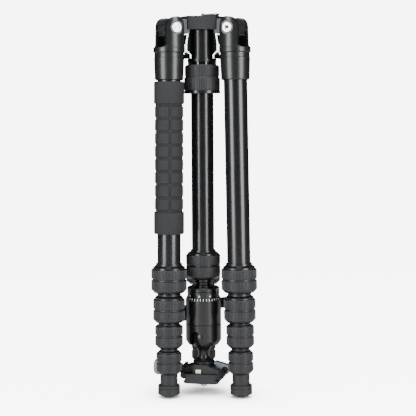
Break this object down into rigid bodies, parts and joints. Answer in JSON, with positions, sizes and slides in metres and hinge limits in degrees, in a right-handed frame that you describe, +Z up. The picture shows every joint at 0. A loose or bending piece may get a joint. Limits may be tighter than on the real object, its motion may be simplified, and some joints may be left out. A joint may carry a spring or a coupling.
{
  "type": "travel tripod",
  "caption": "Reverse-folded travel tripod with twist-lock legs, two-stage centre column, foam grip, and a ball head with clamp and quick-release plate.",
  "frame": {"origin": "on the floor under the middle of the bounding box, which lies behind the column axis because only one of the three legs is at the back", "axes": "+Z up along the folded tripod, from the three feet to the spider; +X to the right and -Y towards the viewer of the picture, between the two front legs"},
  "size_m": [0.114, 0.1032, 0.4128],
  "materials": {
    "casting": "satin black coated die casting",
    "tube": "black anodised, satin gloss",
    "ribbed_rubber": "matte dark grey, ribbed",
    "foot_rubber": "matte dark grey",
    "bright_steel": "bright, turned",
    "grey_metal": "light silver grey, satin",
    "head_black": "satin black",
    "vial": "clear acrylic with pale liquid",
    "pad_rubber": "matte black"
  },
  "bodies": {
    "spider": {"spider": "casting", "pivot_bolts": "bright_steel"},
    "left_leg": {"left_shoulder": "casting", "left_tube_1": "tube", "left_grip": "ribbed_rubber"},
    "left_tab": {"left_angle_tab": "casting"},
    "left_lock_1": {"left_collar_1": "ribbed_rubber"},
    "left_section_2": {"left_tube_2": "tube"},
    "left_lock_2": {"left_collar_2": "ribbed_rubber"},
    "left_section_3": {"left_tube_3": "tube"},
    "left_lock_3": {"left_collar_3": "ribbed_rubber"},
    "left_section_4": {"left_tube_4": "tube"},
    "left_lock_4": {"left_collar_4": "ribbed_rubber"},
    "left_section_5": {"left_tube_5": "tube", "left_foot": "foot_rubber"},
    "right_leg": {"right_shoulder": "casting", "right_tube_1": "tube"},
    "right_tab": {"right_angle_tab": "casting"},
    "right_lock_1": {"right_collar_1": "ribbed_rubber"},
    "right_section_2": {"right_tube_2": "tube"},
    "right_lock_2": {"right_collar_2": "ribbed_rubber"},
    "right_section_3": {"right_tube_3": "tube"},
    "right_lock_3": {"right_collar_3": "ribbed_rubber"},
    "right_section_4": {"right_tube_4": "tube"},
    "right_lock_4": {"right_collar_4": "ribbed_rubber"},
    "right_section_5": {"right_tube_5": "tube", "right_foot": "foot_rubber"},
    "rear_leg": {"rear_shoulder": "casting", "rear_tube_1": "tube"},
    "rear_tab": {"rear_angle_tab": "casting"},
    "rear_lock_1": {"rear_collar_1": "ribbed_rubber"},
    "rear_section_2": {"rear_tube_2": "tube"},
    "rear_lock_2": {"rear_collar_2": "ribbed_rubber"},
    "rear_section_3": {"rear_tube_3": "tube"},
    "rear_lock_3": {"rear_collar_3": "ribbed_rubber"},
    "rear_section_4": {"rear_tube_4": "tube"},
    "rear_lock_4": {"rear_collar_4": "ribbed_rubber"},
    "rear_section_5": {"rear_tube_5": "tube", "rear_foot": "foot_rubber"},
    "lock_ring_upper": {"column_ring_upper": "ribbed_rubber"},
    "lock_ring_lower": {"column_ring_lower": "ribbed_rubber"},
    "column_outer": {"column_tube_outer": "tube", "column_end_cap": "casting"},
    "hook": {"bag_hook": "bright_steel"},
    "column_lock": {"column_collar": "ribbed_rubber"},
    "column_inner": {"column_tube_inner": "tube", "head_mount": "head_black", "pan_base": "head_black"},
    "head": {"head_body": "head_black"},
    "ball_knob": {"ball_lock_knob": "head_black"},
    "pan_knob": {"pan_lock_knob": "head_black"},
    "ball": {"ball_stem": "head_black"},
    "clamp": {"clamp_base": "head_black", "bubble_level": "vial"},
    "jaw": {"clamp_jaw": "head_black"},
    "tension_knob": {"clamp_knob": "grey_metal"},
    "lever": {"clamp_lever": "grey_metal"},
    "plate": {"release_plate": "head_black", "plate_pad": "pad_rubber"},
    "screw": {"camera_screw": "bright_steel"}
  },
  "joints": [
    {"name": "left_leg_swing", "type": "hinge", "parent": "spider", "child": "left_leg", "pos_m": [-0.03429, -0.02935, 0.39591], "axis": [-0.5, 0.866, 0], "range_deg": [0, 178]},
    {"name": "left_angle_tab_slide", "type": "slide", "parent": "left_leg", "child": "left_tab", "axis": [-0.866, -0.5, 0.0096], "range_m": [0, 0.003]},
    {"name": "left_collar_1_twist", "type": "hinge", "parent": "left_leg", "child": "left_lock_1", "pos_m": [-0.03763, -0.03128, 0.13983], "axis": [0.0083, 0.0048, 1], "range_deg": [0, 90]},
    {"name": "left_section_2_slide", "type": "slide", "parent": "left_leg", "child": "left_section_2", "axis": [-0.0083, -0.0048, -1], "range_m": [0, 0.2]},
    {"name": "left_collar_2_twist", "type": "hinge", "parent": "left_section_2", "child": "left_lock_2", "pos_m": [-0.0379, -0.03143, 0.10723], "axis": [0.0083, 0.0048, 1], "range_deg": [0, 90]},
    {"name": "left_section_3_slide", "type": "slide", "parent": "left_section_2", "child": "left_section_3", "axis": [-0.0083, -0.0048, -1], "range_m": [0, 0.23]},
    {"name": "left_collar_3_twist", "type": "hinge", "parent": "left_section_3", "child": "left_lock_3", "pos_m": [-0.03814, -0.03157, 0.07814], "axis": [0.0083, 0.0048, 1], "range_deg": [0, 90]},
    {"name": "left_section_4_slide", "type": "slide", "parent": "left_section_3", "child": "left_section_4", "axis": [-0.0083, -0.0048, -1], "range_m": [0, 0.255]},
    {"name": "left_collar_4_twist", "type": "hinge", "parent": "left_section_4", "child": "left_lock_4", "pos_m": [-0.03839, -0.03171, 0.04894], "axis": [0.0083, 0.0048, 1], "range_deg": [0, 90]},
    {"name": "left_section_5_slide", "type": "slide", "parent": "left_section_4", "child": "left_section_5", "axis": [-0.0083, -0.0048, -1], "range_m": [0, 0.28]},
    {"name": "right_leg_swing", "type": "hinge", "parent": "spider", "child": "right_leg", "pos_m": [0.0324, -0.02935, 0.39591], "axis": [-0.5, -0.866, 0], "range_deg": [0, 178]},
    {"name": "right_angle_tab_slide", "type": "slide", "parent": "right_leg", "child": "right_tab", "axis": [0.8659, -0.4999, 0.0175], "range_m": [0, 0.003]},
    {"name": "right_collar_1_twist", "type": "hinge", "parent": "right_leg", "child": "right_lock_1", "pos_m": [0.03748, -0.03228, 0.13987], "axis": [-0.0151, 0.0087, 0.9998], "range_deg": [0, 90]},
    {"name": "right_section_2_slide", "type": "slide", "parent": "right_leg", "child": "right_section_2", "axis": [0.0151, -0.0087, -0.9998], "range_m": [0, 0.2]},
    {"name": "right_collar_2_twist", "type": "hinge", "parent": "right_section_2", "child": "right_lock_2", "pos_m": [0.03797, -0.03257, 0.10728], "axis": [-0.0151, 0.0087, 0.9998], "range_deg": [0, 90]},
    {"name": "right_section_3_slide", "type": "slide", "parent": "right_section_2", "child": "right_section_3", "axis": [0.0151, -0.0087, -0.9998], "range_m": [0, 0.23]},
    {"name": "right_collar_3_twist", "type": "hinge", "parent": "right_section_3", "child": "right_lock_3", "pos_m": [0.03841, -0.03282, 0.07818], "axis": [-0.0151, 0.0087, 0.9998], "range_deg": [0, 90]},
    {"name": "right_section_4_slide", "type": "slide", "parent": "right_section_3", "child": "right_section_4", "axis": [0.0151, -0.0087, -0.9998], "range_m": [0, 0.255]},
    {"name": "right_collar_4_twist", "type": "hinge", "parent": "right_section_4", "child": "right_lock_4", "pos_m": [0.03885, -0.03307, 0.04899], "axis": [-0.0151, 0.0087, 0.9998], "range_deg": [0, 90]},
    {"name": "right_section_5_slide", "type": "slide", "parent": "right_section_4", "child": "right_section_5", "axis": [0.0151, -0.0087, -0.9998], "range_m": [0, 0.28]},
    {"name": "rear_leg_swing", "type": "hinge", "parent": "spider", "child": "rear_leg", "pos_m": [-0.00095, 0.0284, 0.39591], "axis": [1, 0, 0], "range_deg": [0, 178]},
    {"name": "rear_angle_tab_slide", "type": "slide", "parent": "rear_leg", "child": "rear_tab", "axis": [0, 1, 0.0096], "range_m": [0, 0.003]},
    {"name": "rear_collar_1_twist", "type": "hinge", "parent": "rear_leg", "child": "rear_lock_1", "pos_m": [-0.00095, 0.03226, 0.13983], "axis": [0, -0.0096, 1], "range_deg": [0, 90]},
    {"name": "rear_section_2_slide", "type": "slide", "parent": "rear_leg", "child": "rear_section_2", "axis": [0, 0.0096, -1], "range_m": [0, 0.2]},
    {"name": "rear_collar_2_twist", "type": "hinge", "parent": "rear_section_2", "child": "rear_lock_2", "pos_m": [-0.00095, 0.03257, 0.10723], "axis": [0, -0.0096, 1], "range_deg": [0, 90]},
    {"name": "rear_section_3_slide", "type": "slide", "parent": "rear_section_2", "child": "rear_section_3", "axis": [0, 0.0096, -1], "range_m": [0, 0.23]},
    {"name": "rear_collar_3_twist", "type": "hinge", "parent": "rear_section_3", "child": "rear_lock_3", "pos_m": [-0.00095, 0.03285, 0.07814], "axis": [0, -0.0096, 1], "range_deg": [0, 90]},
    {"name": "rear_section_4_slide", "type": "slide", "parent": "rear_section_3", "child": "rear_section_4", "axis": [0, 0.0096, -1], "range_m": [0, 0.255]},
    {"name": "rear_collar_4_twist", "type": "hinge", "parent": "rear_section_4", "child": "rear_lock_4", "pos_m": [-0.00095, 0.03313, 0.04894], "axis": [0, -0.0096, 1], "range_deg": [0, 90]},
    {"name": "rear_section_5_slide", "type": "slide", "parent": "rear_section_4", "child": "rear_section_5", "axis": [0, 0.0096, -1], "range_m": [0, 0.28]},
    {"name": "column_ring_upper_twist", "type": "hinge", "parent": "spider", "child": "lock_ring_upper", "pos_m": [-0.00095, -0.0101, 0.345], "axis": [0, 0, 1], "range_deg": [0, 90]},
    {"name": "column_ring_lower_twist", "type": "hinge", "parent": "spider", "child": "lock_ring_lower", "pos_m": [-0.00095, -0.0101, 0.335], "axis": [0, 0, 1], "range_deg": [0, 90]},
    {"name": "column_slide", "type": "slide", "parent": "spider", "child": "column_outer", "axis": [0, 0, 1], "range_m": [0, 0.026]},
    {"name": "bag_hook_fold", "type": "hinge", "parent": "column_outer", "child": "hook", "pos_m": [0.00049, -0.0101, 0.41041], "axis": [0, -1, 0], "range_deg": [0, 170]},
    {"name": "column_collar_twist", "type": "hinge", "parent": "column_outer", "child": "column_lock", "pos_m": [-0.00095, -0.0101, 0.14], "axis": [0, 0, 1], "range_deg": [0, 90]},
    {"name": "column_extension_slide", "type": "slide", "parent": "column_outer", "child": "column_inner", "axis": [0, 0, -1], "range_m": [0, 0.215]},
    {"name": "head_pan", "type": "hinge", "parent": "column_inner", "child": "head", "pos_m": [-0.00095, -0.0101, 0.10681], "axis": [0, 0, 1], "range_deg": [-4, 9]},
    {"name": "ball_lock_knob_turn", "type": "hinge", "parent": "head", "child": "ball_knob", "pos_m": [-0.02693, 0.0049, 0.08561], "axis": [-0.866, 0.5, 0], "range_deg": [0, 120]},
    {"name": "pan_lock_knob_turn", "type": "hinge", "parent": "head", "child": "pan_knob", "pos_m": [0.02503, 0.0049, 0.09727], "axis": [0.866, 0.5, 0], "range_deg": [0, 120]},
    {"name": "ball_tilt", "type": "hinge", "parent": "head", "child": "ball", "pos_m": [-0.00095, -0.0101, 0.06151], "axis": [-0.8988, 0.4384, 0], "range_deg": [0, 4]},
    {"name": "ball_spin", "type": "hinge", "parent": "ball", "child": "clamp", "pos_m": [-0.00095, -0.0101, 0.06151], "axis": [0, 0, 1], "range_deg": [-2, 9]},
    {"name": "clamp_jaw_slide", "type": "slide", "parent": "clamp", "child": "jaw", "axis": [-0.9816, 0.1908, 0], "range_m": [0, 0.0024]},
    {"name": "clamp_knob_turn", "type": "hinge", "parent": "jaw", "child": "tension_knob", "pos_m": [-0.04512, -0.00151, 0.02651], "axis": [-0.9816, 0.1908, 0], "range_deg": [0, 690]},
    {"name": "clamp_lever_open", "type": "hinge", "parent": "clamp", "child": "lever", "pos_m": [0.02305, -0.01476, 0.02651], "axis": [0.1908, 0.9816, 0], "range_deg": [0, 75]},
    {"name": "release_plate_slide", "type": "slide", "parent": "clamp", "child": "plate", "axis": [0.1908, 0.9816, 0], "range_m": [-0.004, 0.004]},
    {"name": "camera_screw_turn", "type": "hinge", "parent": "plate", "child": "screw", "pos_m": [-0.00095, -0.0101, 0.01351], "axis": [0, 0, 1], "continuous": true}
  ],
  "couplings": [
    {"joint": "clamp_jaw_slide", "follows": "clamp_knob_turn", "m_per_rad": 0.00019894}
  ]
}
